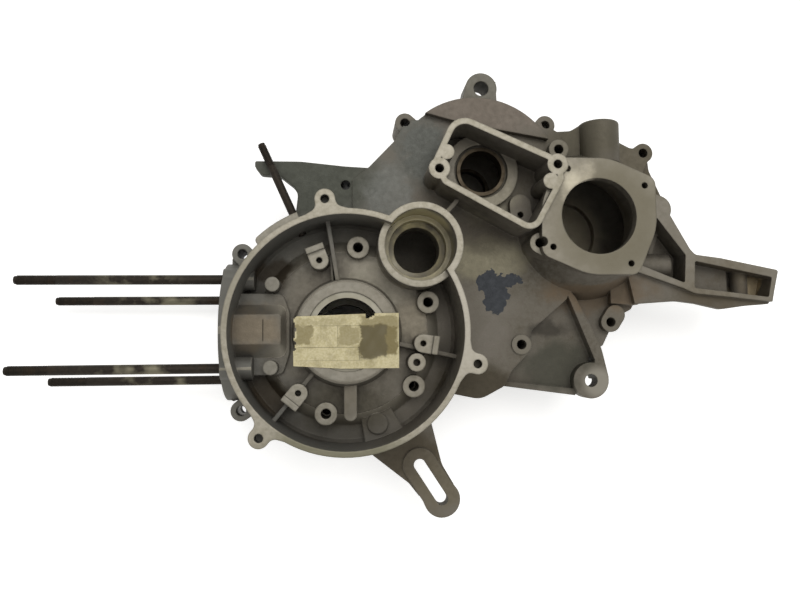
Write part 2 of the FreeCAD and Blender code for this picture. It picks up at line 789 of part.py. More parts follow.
def front_half():
    shell, arm_hollow = front_shell()
    shell = shell.cut(housing_space())
    details = joined([housing_details(), bridge()])
    inside = disc(0.0, 0.0, housing_r - 1.0, 0.0, rim_z)
    shell = joined([shell, details.common(inside)])
    flange_low = flange_z - diff_flange_thick
    low_space = gear_space(-reach_past, low_plate_z - floor_wall, gear_case_plan)
    high_space = gear_space(-reach_past, plate_z - floor_wall, plateau_plan)
    spaces = joined([low_space, high_space])
    spaces = spaces.cut(screw_columns(-reach_past, chamber_screw_tops))
    cuts = [
        spaces,
        Part.makeCone(diff_space_foot_r, diff_space_r, flange_low + reach_past,
                      at(diff_x, diff_y, -reach_past)),
        disc(diff_x, diff_y, diff_bore_r, 0.0, flange_z + reach_past),
        disc(0.0, 0.0, chamber_r, -reach_past, chamber_z),
        disc(0.0, 0.0, crank_shoulder_r, chamber_z - reach_past, crank_ring_low_z),
        disc(0.0, 0.0, crank_seat_r, crank_ring_low_z, boss_z + reach_past),
        disc(gear_x, gear_y, gear_bore_r, 0.0, gear_boss_z + reach_past),
        disc(gear_x, gear_y, gear_groove_r, gear_boss_z - gear_groove_depth,
             gear_boss_z + reach_past),
        disc(selector_pad_hole[0], selector_pad_hole[1], selector_pad_hole_r, 0.0, boss_z),
        rod(at(filler_x, filler_foot_y + filler_floor, filler_z), at(0.0, 1.0),
            filler_top_y - filler_foot_y, filler_bore_r),
        arm_hollow,
        bar(slot_from, slot_to, slot_half_width, -reach_past, rim_z),
        disc(gusset_lug[0], gusset_lug[1], gusset_hole_r, 0.0, rim_z),
        disc(corner_post[0], corner_post[1], corner_post_hole_r, low_plate_z - corner_post_depth,
             low_plate_z + reach_past),
        disc(clip_post[0], clip_post[1], clip_post_hole_r, clip_post_z - clip_post_depth, rim_z),
    ]
    cuts += cylinder_cuts() + starter_cuts() + differential_holes() + dowel_bores()
    cuts += joint_holes(-reach_past, rim_z, outer_screws + chamber_screws + housing_screws)
    for x, y in selector_screws:
        cuts.append(disc(x, y, selector_hole_r, selector_rim_z - selector_hole_depth,
                         selector_rim_z + reach_past))
    for angle in rim_lug_angles:
        x, y = ring_point(rim_lug_circle_r, angle)
        cuts.append(disc(x, y, rim_hole_r, rim_z - rim_hole_depth, rim_z + reach_past))
    for angle in stator_angles:
        x, y = ring_point(stator_circle_r, angle)
        cuts.append(disc(x, y, stator_hole_r, 38.0, rim_z))
    x, y = ring_point(pad_r - intake_stud_depth, intake_stud_angle)
    cuts.append(rod(at(x, y, intake_stud_z), at(*ring_point(1.0, intake_stud_angle)),
                    intake_stud_depth * 2.0, intake_stud_r + fit_gap))
    return shell.cut(joined(cuts)).removeSplitter()


def rear_half():
    # The clutch side: the same joint outline, bearing seats, and a rimmed recess behind.
    skirt = disc(0.0, 0.0, skirt_r, rear_z, 0.0)
    pieces = [
        skirt,
        prism(gear_case_plan, rear_z, 0.0),
        disc(disc_x, disc_y, disc_r, rear_z, 0.0),
        joint_lugs(rear_lug_z, 0.0),
        left_plate(rear_lug_z, 0.0),
        cylinder_side(False),
        screw_columns(rear_web_z, (0.0, 0.0, 0.0)),
        bar(top_lug, (118.0, 190.0), top_lug_r, top_lug_low_z, top_lug_high_z),
        plain_prism(((104.0, 190.0), (106.5, 214.0), (111.5, 232.0), (138.0, 232.0),
                     (139.6, 190.0)), top_lug_low_z, top_lug_high_z),
    ]
    shell = joined(pieces)
    spaces = gear_space(rear_space_z, reach_past, gear_case_plan).cut(
        screw_columns(rear_web_z, (reach_past, reach_past, reach_past)))
    recess = joined([
        shrunk(gear_case_plan, case_wall + 2.0, rear_z - reach_past, rear_web_z),
        disc(0.0, 0.0, skirt_r - case_wall - 2.0, rear_z - reach_past, rear_web_z),
    ])
    bosses = joined([
        disc(0.0, 0.0, crank_boss_r, rear_z + rear_boss_rise, rear_web_z),
        disc(gear_x, gear_y, gear_boss_r - 4.0, rear_z + rear_boss_rise, rear_web_z),
        disc(diff_x, diff_y, diff_bore_r + case_wall, rear_z + rear_boss_rise, rear_web_z),
    ])
    pocket = disc(0.0, 0.0, chamber_r - 2.0, rear_web_z - reach_past, -chamber_z - floor_wall)
    pocket = pocket.cut(disc(0.0, 0.0, crank_boss_r, rear_z, 0.0))
    ribs = []
    for step in range(rear_rib_count):
        angle = (step + 0.5) * 360.0 / rear_rib_count
        ribs.append(bar(ring_point(crank_seat_r + 2.0, angle), ring_point(chamber_r, angle),
                        rib_width / 2.0, rear_web_z, -chamber_z - 2.0))
    pocket = pocket.cut(joined(ribs))
    cuts = [
        spaces,
        recess.cut(bosses),
        pocket,
        disc(0.0, 0.0, chamber_r, -chamber_z, reach_past),
        disc(0.0, 0.0, crank_seat_r, -chamber_z - rear_seat_depth, 0.0),
        disc(0.0, 0.0, crank_shoulder_r, rear_z - reach_past, 0.0),
        disc(gear_x, gear_y, gear_bore_r, rear_space_z - gear_seat_past - gear_rear_bush_length,
             0.0),
        disc(diff_x, diff_y, diff_bore_r, rear_z + diff_rear_floor, 0.0),
        disc(top_lug[0], top_lug[1], top_lug_hole_r, rear_z, 0.0),
    ]
    cuts += cylinder_cuts() + dowel_bores()
    cuts += joint_holes(-joint_thread_depth, reach_past,
                        outer_screws + chamber_screws + housing_screws)
    return shell.cut(joined(cuts)).removeSplitter()


def cylinder_stud(name):
    # The shank stops at the flange, and its thread is drawn there as its core.
    start = cylinder_face_x - stud_reach(name)
    shank = stud_rod(name, stud_r, start, cylinder_face_x - fit_gap)
    core = stud_rod(name, stud_core_r, cylinder_face_x - fit_gap, cylinder_face_x + stud_depth)
    shank = shank.makeChamfer(stud_chamfer, [edge for edge in shank.Edges
                                             if abs(edge.BoundBox.XMax - start) < 0.01])
    return shank.fuse(core)


def intake_stud():
    start_r = pad_r - intake_stud_depth
    x, y = ring_point(start_r, intake_stud_angle)
    direction = at(*ring_point(1.0, intake_stud_angle))
    stud = rod(at(x, y, intake_stud_z), direction, intake_stud_reach - start_r, intake_stud_r)
    return stud.makeChamfer(stud_chamfer, [edge for edge in stud.Edges if edge.Closed])


def sleeve(x, y, outer_r, wall, low, high):
    return disc(x, y, outer_r - fit_gap, low, high).cut(disc(x, y, outer_r - wall, low, high))


def label():
    # A torn slip of stiff paper that lies on the crank boss.
    plan = ((-42.2, 11.9, 1.0), (14.9, 14.4, 0.0), (15.2, 10.4, 0.6), (20.4, 10.6, 0.6),
            (20.8, 13.8, 0.0), (40.3, 11.4, 0.6), (40.4, -24.9, 0.6), (-13.3, -28.2, 0.0),
            (-39.9, -28.8, 2.0), (-43.8, -16.3, 1.0), (-39.3, -14.9, 0.6), (-39.9, -1.4, 0.0))
    low = boss_z + fit_gap / 2.0
    return prism(plan, low, low + label_thick)


nodes = {
    "crankcase_front_half": front_half(),
    "crankcase_rear_half": rear_half(),
    "intake_stud": intake_stud(),
    "crank_bearing_ring_front": sleeve(0.0, 0.0, crank_seat_r, crank_ring_wall,
                                       crank_ring_low_z, crank_ring_low_z + crank_ring_length),
    "crank_bearing_ring_rear": sleeve(0.0, 0.0, crank_seat_r, crank_ring_wall,
                                      -chamber_z - rear_seat_depth, -chamber_z - ring_setback),
    "gear_shaft_bush_front": sleeve(gear_x, gear_y, gear_bore_r, gear_bush_wall,
                                    gear_boss_z - ring_setback - gear_bush_length,
                                    gear_boss_z - ring_setback),
    "gear_shaft_bush_rear": sleeve(gear_x, gear_y, gear_bore_r, gear_bush_wall,
                                   rear_space_z - gear_seat_past - gear_rear_bush_length,
                                   rear_space_z - gear_seat_past),
    "paper_label": label(),
}
for stud_name in stud_places():
    nodes["cylinder_stud_" + stud_name] = cylinder_stud(stud_name)
for side_name, place in dowel_places.items():
    nodes["locating_dowel_" + side_name] = sleeve(
        place[0], place[1], dowel_r + fit_gap, dowel_r - joint_hole_r,
        dowel_end_gap - dowel_length / 2.0, dowel_length / 2.0 - dowel_end_gap)

for node_name, shape in nodes.items():
    box = shape.BoundBox
    print(node_name, "solids", len(shape.Solids), "valid", shape.isValid(),
          "volume", round(shape.Volume / 1000.0, 1), "cm3",
          "x", round(box.XMin, 1), round(box.XMax, 1),
          "y", round(box.YMin, 1), round(box.YMax, 1),
          "z", round(box.ZMin, 1), round(box.ZMax, 1))
    shape.exportStep("parts/" + node_name + ".step")
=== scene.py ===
import math

import bpy
from mathutils import Matrix, Vector


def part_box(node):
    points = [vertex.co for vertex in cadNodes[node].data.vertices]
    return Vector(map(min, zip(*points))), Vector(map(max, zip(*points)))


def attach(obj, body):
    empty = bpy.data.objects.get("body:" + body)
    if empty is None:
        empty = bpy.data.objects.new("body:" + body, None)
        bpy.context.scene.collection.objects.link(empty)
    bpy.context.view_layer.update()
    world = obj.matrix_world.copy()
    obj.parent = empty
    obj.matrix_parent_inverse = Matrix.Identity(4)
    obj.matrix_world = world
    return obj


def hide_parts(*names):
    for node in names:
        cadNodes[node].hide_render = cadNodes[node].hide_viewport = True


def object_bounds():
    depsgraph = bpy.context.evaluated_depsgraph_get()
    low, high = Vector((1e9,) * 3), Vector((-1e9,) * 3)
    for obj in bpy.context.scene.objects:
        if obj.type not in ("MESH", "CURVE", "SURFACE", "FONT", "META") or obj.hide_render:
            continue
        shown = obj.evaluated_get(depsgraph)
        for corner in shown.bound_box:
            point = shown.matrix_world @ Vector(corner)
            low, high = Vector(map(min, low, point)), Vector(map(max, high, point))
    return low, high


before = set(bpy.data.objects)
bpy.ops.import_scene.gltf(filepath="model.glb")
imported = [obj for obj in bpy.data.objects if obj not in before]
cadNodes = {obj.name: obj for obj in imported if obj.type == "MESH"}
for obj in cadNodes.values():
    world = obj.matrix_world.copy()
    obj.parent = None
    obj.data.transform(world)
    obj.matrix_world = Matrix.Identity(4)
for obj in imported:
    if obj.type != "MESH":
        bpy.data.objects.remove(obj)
cadLow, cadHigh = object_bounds()
mm = 0.001
print("frame loaded with", len(cadNodes), "nodes")


def linear(hexColour):  # sRGB hex to the linear numbers that sockets take
    parts = [int(hexColour[i:i + 2], 16) / 255.0 for i in (1, 3, 5)]
    return [p / 12.92 if p <= 0.04045 else ((p + 0.055) / 1.055) ** 2.4 for p in parts] + [1.0]


def addNode(tree, kind, settings=None, links=None):
    new = tree.nodes.new("ShaderNode" + kind)
    for name, value in (settings or {}).items():
        if isinstance(name, int) or name in new.inputs:
            new.inputs[name].default_value = value
        else:
            setattr(new, name, value)
    for socket, source in (links or {}).items():
        tree.links.new(source, new.inputs[socket])
    return new


def newMaterial(name):
    material = bpy.data.materials.new(name)
    material.use_nodes = True
    tree = material.node_tree
    tree.nodes.clear()
    return material, tree


def deselect():
    if bpy.context.object and bpy.context.object.mode != "OBJECT":
        bpy.ops.object.mode_set(mode="OBJECT")
    bpy.ops.object.select_all(action="DESELECT")


def finishPiece(piece, material, replaced=()):
    deselect()
    piece.select_set(True)
    bpy.context.view_layer.objects.active = piece
    bpy.ops.object.transform_apply(location=True, rotation=True, scale=True)
    piece.data.materials.clear()
    piece.data.materials.append(material)
    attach(piece, "root")
    if replaced:
        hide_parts(*replaced)


def placeInMm(tree):  # the piece's own coordinates in millimetres
    coords = addNode(tree, "TexCoord")
    return addNode(tree, "VectorMath", {"operation": "SCALE", "Scale": 1.0 / mm},
                   {0: coords.outputs["Object"]}).outputs[0]


def dress(nodeNames, material):
    for name in nodeNames:
        for slot in cadNodes[name].material_slots:
            slot.material = material


def joinPieces(pieces, name):
    deselect()
    for piece in pieces:
        piece.select_set(True)
    bpy.context.view_layer.objects.active = pieces[0]
    if len(pieces) > 1:
        bpy.ops.object.join()
    pieces[0].name = name
    pieces[0].data.name = name
    return pieces[0]


# die-cast aluminium: a dull mottled skin, paler skimmed faces, brown oil stains and painted shade in
# the low places
castFinish = {
    "skin": "#69635A",
    "paleSkin": "#757065",
    "darkSkin": "#544E43",
    "coolSkin": "#6C6D69",
    "skimmed": "#989284",
    "skimmedDull": "#777160",
    # oil stains, also the colour of the painted shadows
    "oil": "#3A3122",
    # grime, also the colour of the painted corner shade
    "grime": "#241F17",
    "bareSpot": "#3A3C3F",
    "rubbed": "#8C877A",
    "polished": "#A29D90",
    # painted light on the housing's soft slopes
    "slope": "#B4AD9D",
    "mottleSize": 38.0,     # mm, broad drift in tone
    "speckSize": 4.5,       # mm, small blotches
    "grainSize": 1.1,       # mm, skin of the die, a little coarser than real so that it shows
    "pitSize": 2.6,         # mm between pits
    "edgeRadius": 1.6,      # mm, how far the light rounds an edge
    "cornerReach": 13.0,    # mm, how far the painted corner shade and grime reach out of a corner
    "warpSize": 14.0,       # mm, waves that make the borders of the tones uneven
    "warpReach": 22.0,      # mm, how far they push a border
    "spotEdgeSize": 5.0,    # mm, the same for the bare spots
    "spotEdgeReach": 14.0,
    "cutterSize": 2.2,      # mm, streaks on the skimmed faces, coarser than real to show
    "cutterTurn": 0.5,
    "flatLimit": 0.995,     # a face is level from this part of upright on
    "faceBand": 0.12,       # mm about the height of a skimmed face
    "coolPlaces": (60.0, -20.0),    # mm along x, where the skin turns cooler
    "coolShare": 0.55,
    "slopeFade": 12.0,      # mm
    "slopeShare": 0.9,
    "grimeShare": 0.55,
    "rubbedShare": 0.25,
    "skinRoughness": (0.58, 0.74),
    "faceRoughness": 0.52,
    "metallic": (0.7, 0.25),        # clean, and under oil, grime and painted shade
    "reliefDepth": 0.35,    # mm
}

# places are in mm: middle, radius along x, y, z, and strength
frontLook = {
    # heights of the skimmed faces, each with how strongly it is cleaned
    "faces": {72.0: 1.0, 63.4: 0.9, 62.0: 1.0, 58.0: 0.6, 60.0: 0.5, 53.0: 0.6, 51.0: 0.75,
              50.0: 0.7, 48.0: 0.4, 39.0: 0.6, 44.0: 0.5, 30.0: 0.3, 23.5: 0.2, 18.0: 0.1,
              12.0: 0.1},
    # broad differences in the skin, some of them painted light and shade as marked
    "zones": (
        ("#44463D", (-30.0, 130.0, 20.0), (80.0, 46.0, 30.0), 0.85),  # upper left bracket
        ("#6F706B", (37.0, 116.0, 22.0), (26.0, 40.0, 12.0), 0.7),  # gear case beside the housing
        ("#595B56", (66.0, 158.0, 24.0), (34.0, 44.0, 10.0), 0.85),  # the disc's left part
        ("#6F665C", (120.0, 196.0, 28.0), (90.0, 36.0, 10.0), 0.85),  # the disc's upper ledge
        ("#544F41", (214.0, 168.0, 20.0), (50.0, 36.0, 40.0), 0.8),  # filler
        ("#514A3B", (264.0, 132.0, 16.0), (44.0, 60.0, 14.0), 0.85),  # right end of the case
        ("#434238", (184.0, -32.0, 10.0), (50.0, 30.0, 18.0), 0.85),  # gusset, a darker tone with painted shade in its pocket
        ("#35312A", (172.0, 2.0, 16.0), (30.0, 13.0, 14.0), 0.8),  # painted shadow in its upper corner, under the plateau's edge
        ("#3D3627", (106.0, -46.0, 20.0), (52.0, 28.0, 12.0), 0.85),  # painted shadow along the lower edge of the case
        ("#746E62", (0.0, 6.0, 26.0), (94.0, 94.0, 52.0), 0.95),  # inside the housing
        ("#A09A8B", (28.0, 42.0, 32.0), (40.0, 32.0, 12.0), 0.85),  # painted light on its floor, upper right
        ("#8F8776", (54.0, 8.0, 32.0), (22.0, 26.0, 12.0), 0.8),  # right
        ("#4A4539", (-4.0, -62.0, 28.0), (64.0, 30.0, 18.0), 0.85),  # and painted shade at its bottom
        ("#80735F", (-76.0, 3.0, 40.0), (34.0, 24.0, 22.0), 0.7),  # block
        ("#B0A67E", (57.8, 67.8, 50.0), (36.0, 36.0, 26.0), 0.95),  # starter bore, painted light over its shade
        ("#BFB58D", (57.8, 90.0, 54.0), (34.0, 22.0, 24.0), 0.9),  # painted sheen on its upper wall
        ("#86806A", (118.0, 62.0, 22.0), (50.0, 24.0, 12.0), 0.7),  # case right of it
        ("#8C8674", (120.0, 120.0, 26.0), (36.0, 34.0, 20.0), 0.7),  # inside the selector box
        ("#958C7C", (206.3, 93.2, 10.0), (46.0, 46.0, 50.0), 0.95),  # differential bore, painted light over its shade
        ("#F4EAD2", (188.0, 120.0, 40.0), (24.0, 28.0, 30.0), 0.98),  # painted light on its upper left wall
        ("#6C5B46", (216.0, 36.0, 18.0), (64.0, 26.0, 20.0), 0.75),  # painted shadow on the neck below the flange
        ("#534A3A", (326.0, 40.0, 26.0), (56.0, 36.0, 12.0), 0.8),  # arm
        ("#B5A484", (360.0, 37.0, 9.0), (24.0, 18.0, 10.0), 0.9),  # painted light in the pocket at its end
        ("#4C4434", (50.0, -104.0, 8.0), (50.0, 26.0, 16.0), 0.85),  # web of the slotted lug
        ("#5F5746", (72.0, -130.0, 8.0), (34.0, 34.0, 16.0), 0.85),  # its pad
    ),
    # the same for the skimmed faces
    "faceZones": (
        ("#6A6450", (216.0, 90.0, 58.0), (66.0, 68.0, 30.0), 0.9),  # differential flange
        ("#66634F", (-10.0, -92.0, 72.0), (74.0, 34.0, 18.0), 0.8),  # painted shade on the housing rim, bottom
        ("#7C7768", (-84.0, 40.0, 72.0), (30.0, 60.0, 18.0), 0.6),  # painted shade at the left
        ("#A29C90", (92.0, 10.0, 72.0), (30.0, 60.0, 18.0), 0.6),  # and a painted highlight at the right
        ("#625A4A", (2.4, -56.0, 44.0), (15.0, 26.0, 16.0), 0.9),  # bar below the crank boss
        ("#857F6D", (57.8, 67.8, 48.0), (40.0, 40.0, 14.0), 0.6),  # ledges of the starter bore
    ),
    # oil stains, and painted shadows and shade where the comment says so
    "stains": (
        ((112.0, 84.0, 22.0), (46.0, 22.0, 12.0), 0.5),  # painted shadow below the selector box, on the case beside the starter bore
        ((222.0, 40.0, 12.0), (52.0, 26.0, 22.0), 0.45),  # painted shadow under the flange
        ((130.0, -46.0, 4.0), (46.0, 20.0, 26.0), 0.4),  # painted shade along the lower edge of the case
        ((48.0, -112.0, 4.0), (50.0, 34.0, 20.0), 0.3),  # slotted lug
        ((-78.0, 20.0, 10.0), (16.0, 60.0, 30.0), 0.3),  # cylinder side
        ((-20.0, -82.0, 20.0), (70.0, 20.0, 16.0), 0.45),  # painted shade in the housing, low
        ((-66.0, -52.0, 22.0), (32.0, 24.0, 22.0), 0.98),  # painted shade in the corners beside the block
        ((-60.0, 50.0, 24.0), (30.0, 17.0, 22.0), 0.95),
        ((246.0, 64.0, 10.0), (26.0, 26.0, 22.0), 0.5),  # root of the arm
        ((130.0, 140.0, 24.0), (52.0, 34.0, 9.0), 0.4),  # painted shadow inside the selector box, under its upper wall
    ),
    # faces rubbed bright where something was clamped
    "bright": (
        ((214.0, -44.0, 22.0), (17.0, 17.0, 8.0), 0.5),  # gusset lug
    ),
    # a sharp line left by the die on the block
    "marks": (
        ((-67.0, 2.0, 45.0), (0.5, 9.0, 1.5), 0.75),  # on the block
    ),
    # where neither grime nor painted corner shade gathers: the two big bores
    "clean": (
        ((57.8, 67.8, 50.0), (38.0, 38.0, 30.0), 0.85),
        ((206.3, 93.2, 18.0), (48.0, 48.0, 60.0), 0.85),
    ),
    "bareSpots": (
        ((127.0, 30.0, 22.0), (16.0, 19.0, 10.0)),
        ((122.0, 42.0, 22.0), (15.0, 14.0, 10.0)),
        ((139.0, 44.0, 22.0), (16.0, 8.0, 10.0)),
    ),
    # the soft slopes of the housing floor and crank boss lie within this, the block apart
    "slopeReach": 80.0,
    "slopeFree": ((-74.0, 4.0, 40.0), (34.0, 30.0, 40.0), 1.0),
}
rearLook = {
    "faces": {0.0: 0.6, -12.0: 0.2, -58.0: 0.8, -54.0: 0.7},
    "zones": (
        ("#565650", (124.0, 225.0, -26.0), (40.0, 40.0, 40.0), 0.6),  # top lug
        ("#9C937F", (206.3, 93.2, -40.0), (50.0, 50.0, 42.0), 0.9),  # differential bore, painted light over its shade
    ),
    "faceZones": (),
    "stains": (
        ((120.0, -40.0, -20.0), (120.0, 40.0, 40.0), 0.5),  # lower side
        ((250.0, 20.0, -20.0), (60.0, 60.0, 40.0), 0.4),  # lower right
        ((120.0, 190.0, -26.0), (120.0, 40.0, 40.0), 0.35),  # upper side
    ),
    "bright": (),
    "marks": (),
    "clean": (
        ((206.3, 93.2, -30.0), (50.0, 50.0, 50.0), 0.85),  # differential bore
    ),
    "bareSpots": (),
    "slopeReach": 0.0,
    "slopeFree": ((0.0, 0.0, 0.0), (1.0, 1.0, 1.0), 0.0),
}


def blobMask(tree, place, centre, radii, strength):  # 1 in the middle, 0 past the radius
    offset = addNode(tree, "VectorMath", {"operation": "SUBTRACT", 1: centre}, {0: place})
    scaled = addNode(tree, "VectorMath", {"operation": "MULTIPLY",
                                          1: [1.0 / r for r in radii]}, {0: offset.outputs[0]})
    reach = addNode(tree, "VectorMath", {"operation": "LENGTH"}, {0: scaled.outputs[0]})
    return addNode(tree, "MapRange", {"interpolation_type": "SMOOTHSTEP", 1: 0.45, 2: 1.0,
                                      3: strength, 4: 0.0}, {0: reach.outputs["Value"]}).outputs[0]


def largest(tree, values):
    result = values[0]
    for value in values[1:]:
        result = addNode(tree, "Math", {"operation": "MAXIMUM"},
                         {0: result, 1: value}).outputs[0]
    return result


def product(tree, first, *others):  # of sockets, or of a socket and numbers
    result = first
    for other in others:
        node = addNode(tree, "Math", {"operation": "MULTIPLY"}, {0: result})
        if isinstance(other, float):
            node.inputs[1].default_value = other
        else:
            tree.links.new(other, node.inputs[1])
        result = node.outputs[0]
    return result


def opposite(tree, value):  # 1 less the value
    return addNode(tree, "Math", {"operation": "SUBTRACT", 0: 1.0}, {1: value}).outputs[0]


def boxMask(tree, place, centre, sides, strength):  # 1 inside a rectangle with soft edges
    offset = addNode(tree, "VectorMath", {"operation": "SUBTRACT", 1: centre}, {0: place})
    away = addNode(tree, "VectorMath", {"operation": "ABSOLUTE"}, {0: offset.outputs[0]})
    scaled = addNode(tree, "VectorMath", {"operation": "MULTIPLY", 1: [1.0 / side for side in sides]},
                     {0: away.outputs[0]})
    parts = addNode(tree, "SeparateXYZ", {}, {0: scaled.outputs[0]})
    reach = largest(tree, [parts.outputs[axis] for axis in "XYZ"])
    return addNode(tree, "MapRange", {"interpolation_type": "SMOOTHSTEP", 1: 0.86, 2: 1.08,
                                      3: strength, 4: 0.0}, {0: reach}).outputs[0]


def blend(tree, factor, first, second):  # colours as hex or as a socket
    node = addNode(tree, "Mix", {"data_type": "RGBA"}, {0: factor})
    for index, colour in ((6, first), (7, second)):
        if isinstance(colour, str):
            node.inputs[index].default_value = linear(colour)
        else:
            tree.links.new(colour, node.inputs[index])
    return node.outputs[2]


def shaken(tree, place, size, reach, detail):  # the place, pushed about by a noise
    noise = addNode(tree, "TexNoise", {"Scale": 1.0 / size, "Detail": detail}, {"Vector": place})
    shift = addNode(tree, "VectorMath", {"operation": "SUBTRACT", 1: (0.5, 0.5, 0.5)},
                    {0: noise.outputs["Color"]})
    scaled = addNode(tree, "VectorMath", {"operation": "SCALE", "Scale": reach},
                     {0: shift.outputs[0]})
    return addNode(tree, "VectorMath", {"operation": "ADD"},
                   {0: place, 1: scaled.outputs[0]}).outputs[0]


def castAluminium(name, finish, look):
    material, tree = newMaterial(name)
    place = placeInMm(tree)
    loosePlace = shaken(tree, place, finish["warpSize"], finish["warpReach"], 4.0)

    mottle = addNode(tree, "TexNoise", {"Scale": 1.0 / finish["mottleSize"], "Detail": 3.0},
                     {"Vector": place})
    speck = addNode(tree, "TexNoise", {"Scale": 1.0 / finish["speckSize"], "Detail": 6.0,
                                       "Roughness": 0.65}, {"Vector": place})
    grain = addNode(tree, "TexNoise", {"Scale": 1.0 / finish["grainSize"], "Detail": 2.0},
                    {"Vector": place})
    pits = addNode(tree, "TexVoronoi", {"Scale": 1.0 / finish["pitSize"], "Randomness": 1.0},
                   {"Vector": place})

    # where the skin is skimmed: flat faces that look up or down at the listed heights
    height = addNode(tree, "SeparateXYZ", {}, {0: place}).outputs["Z"]
    geometry = addNode(tree, "NewGeometry")
    upright = addNode(tree, "SeparateXYZ", {}, {0: geometry.outputs["True Normal"]}).outputs["Z"]
    flat = addNode(tree, "Math", {"operation": "ABSOLUTE"}, {0: upright})
    level = addNode(tree, "Math", {"operation": "GREATER_THAN",
                                  1: finish["flatLimit"]}, {0: flat.outputs[0]})
    bands = []
    for faceHeight, strength in look["faces"].items():
        near = addNode(tree, "Math", {"operation": "COMPARE", 1: faceHeight,
                                      2: finish["faceBand"]}, {0: height})
        bands.append(product(tree, near.outputs[0], strength))
    skimmed = product(tree, largest(tree, bands), level.outputs[0])

    # tone of the cast skin
    mottled = addNode(tree, "MapRange", {1: 0.35, 2: 0.65}, {0: mottle.outputs[0]}).outputs[0]
    specked = addNode(tree, "MapRange", {1: 0.38, 2: 0.68, 3: 0.0, 4: 0.75},
                      {0: speck.outputs[0]}).outputs[0]
    skin = blend(tree, mottled, finish["darkSkin"], finish["skin"])
    skin = blend(tree, specked, skin, finish["paleSkin"])
    coolFrom, coolTo = finish["coolPlaces"]
    cool = addNode(tree, "MapRange", {"interpolation_type": "SMOOTHSTEP", 1: coolFrom, 2: coolTo},
                   {0: addNode(tree, "SeparateXYZ", {}, {0: loosePlace}).outputs["X"]}).outputs[0]
    skin = blend(tree, product(tree, cool, finish["coolShare"]), skin, finish["coolSkin"])
    for colour, centre, radii, strength in look["zones"]:
        skin = blend(tree, blobMask(tree, loosePlace, centre, radii, strength), skin, colour)
    if look["bareSpots"]:
        raggedPlace = shaken(tree, place, finish["spotEdgeSize"], finish["spotEdgeReach"], 5.0)
        spots = [blobMask(tree, raggedPlace, centre, radii, 1.0)
                 for centre, radii in look["bareSpots"]]
        spotMask = addNode(tree, "MapRange", {1: 0.42, 2: 0.52}, {0: largest(tree, spots)})
        skin = blend(tree, spotMask.outputs[0], skin, finish["bareSpot"])

    # skimmed faces keep faint cutter marks and dull blotches
    streaked = addNode(tree, "Mapping", {"Scale": (0.12, 1.0, 1.0),
                                         "Rotation": (0.0, 0.0, finish["cutterTurn"])},
                       {"Vector": place}).outputs[0]
    cutter = addNode(tree, "TexNoise", {"Scale": 1.0 / finish["cutterSize"], "Detail": 3.0},
                     {"Vector": streaked})
    dull = addNode(tree, "MapRange", {1: 0.4, 2: 0.75, 3: 0.05, 4: 0.85}, {0: speck.outputs[0]})
    cleanFace = blend(tree, dull.outputs[0], finish["skimmed"], finish["skimmedDull"])
    for colour, centre, radii, strength in look["faceZones"]:
        cleanFace = blend(tree, blobMask(tree, loosePlace, centre, radii, strength), cleanFace,
                          colour)
    tone = blend(tree, skimmed, skin, cleanFace)
    for centre, radii, strength in look["bright"]:
        shiny = product(tree, blobMask(tree, place, centre, radii, strength), level.outputs[0])
        tone = blend(tree, shiny, tone, finish["polished"])
    for centre, sides, strength in look["marks"]:
        tone = blend(tree, boxMask(tree, place, centre, sides, strength), tone, finish["grime"])

    # painted shade, with some grime, darkens the corners by occlusion; oil stains and painted shadows
    # lie in the listed places
    corner = addNode(tree, "AmbientOcclusion", {"samples": 6,
                                                "Distance": finish["cornerReach"] * mm})
    hidden = addNode(tree, "MapRange", {1: 0.20, 2: 0.75, 3: finish["grimeShare"], 4: 0.0},
                     {0: corner.outputs["AO"]}).outputs[0]
    patchy = addNode(tree, "MapRange", {1: 0.3, 2: 0.7, 3: 0.55, 4: 1.0},
                     {0: speck.outputs[0]}).outputs[0]
    grimeAndShadeMask = product(tree, hidden, patchy)

    # painted light: the housing's soft slopes are painted a lighter tone and kept free of grime and
    # painted corner shade
    sloped = addNode(tree, "Math", {"operation": "COMPARE", 1: 0.6, 2: 0.32}, {0: flat.outputs[0]})
    levelPlace = addNode(tree, "VectorMath", {"operation": "MULTIPLY", 1: (1.0, 1.0, 0.0)},
                         {0: place})
    fromCrank = addNode(tree, "VectorMath", {"operation": "LENGTH"}, {0: levelPlace.outputs[0]})
    reach = look["slopeReach"]
    inHousing = addNode(tree, "MapRange", {1: reach - finish["slopeFade"], 2: reach,
                                           3: 1.0, 4: 0.0}, {0: fromCrank.outputs["Value"]})
    elsewhere = opposite(tree, blobMask(tree, place, *look["slopeFree"]))
    slopeLightMask = product(tree, sloped.outputs[0], inHousing.outputs[0], elsewhere,
                        finish["slopeShare"])
    tone = blend(tree, slopeLightMask, tone, finish["slope"])
    grimeAndShadeLifted = largest(tree, [slopeLightMask] + [blobMask(tree, place, *spot) for spot in look["clean"]])
    grimeAndShadeMask = product(tree, grimeAndShadeMask, opposite(tree, grimeAndShadeLifted))
    # oil stains together with the painted shadows
    darkened = largest(tree, [blobMask(tree, loosePlace, *darkPlace) for darkPlace in look["stains"]])
    keep = addNode(tree, "Math", {"operation": "MULTIPLY_ADD", 1: -0.8, 2: 1.0},
                   {0: skimmed}).outputs[0]
    darkened = product(tree, darkened, keep)
    tone = blend(tree, darkened, tone, finish["oil"])
    # painted corner shade mixed with grime
    tone = blend(tree, grimeAndShadeMask, tone, finish["grime"])

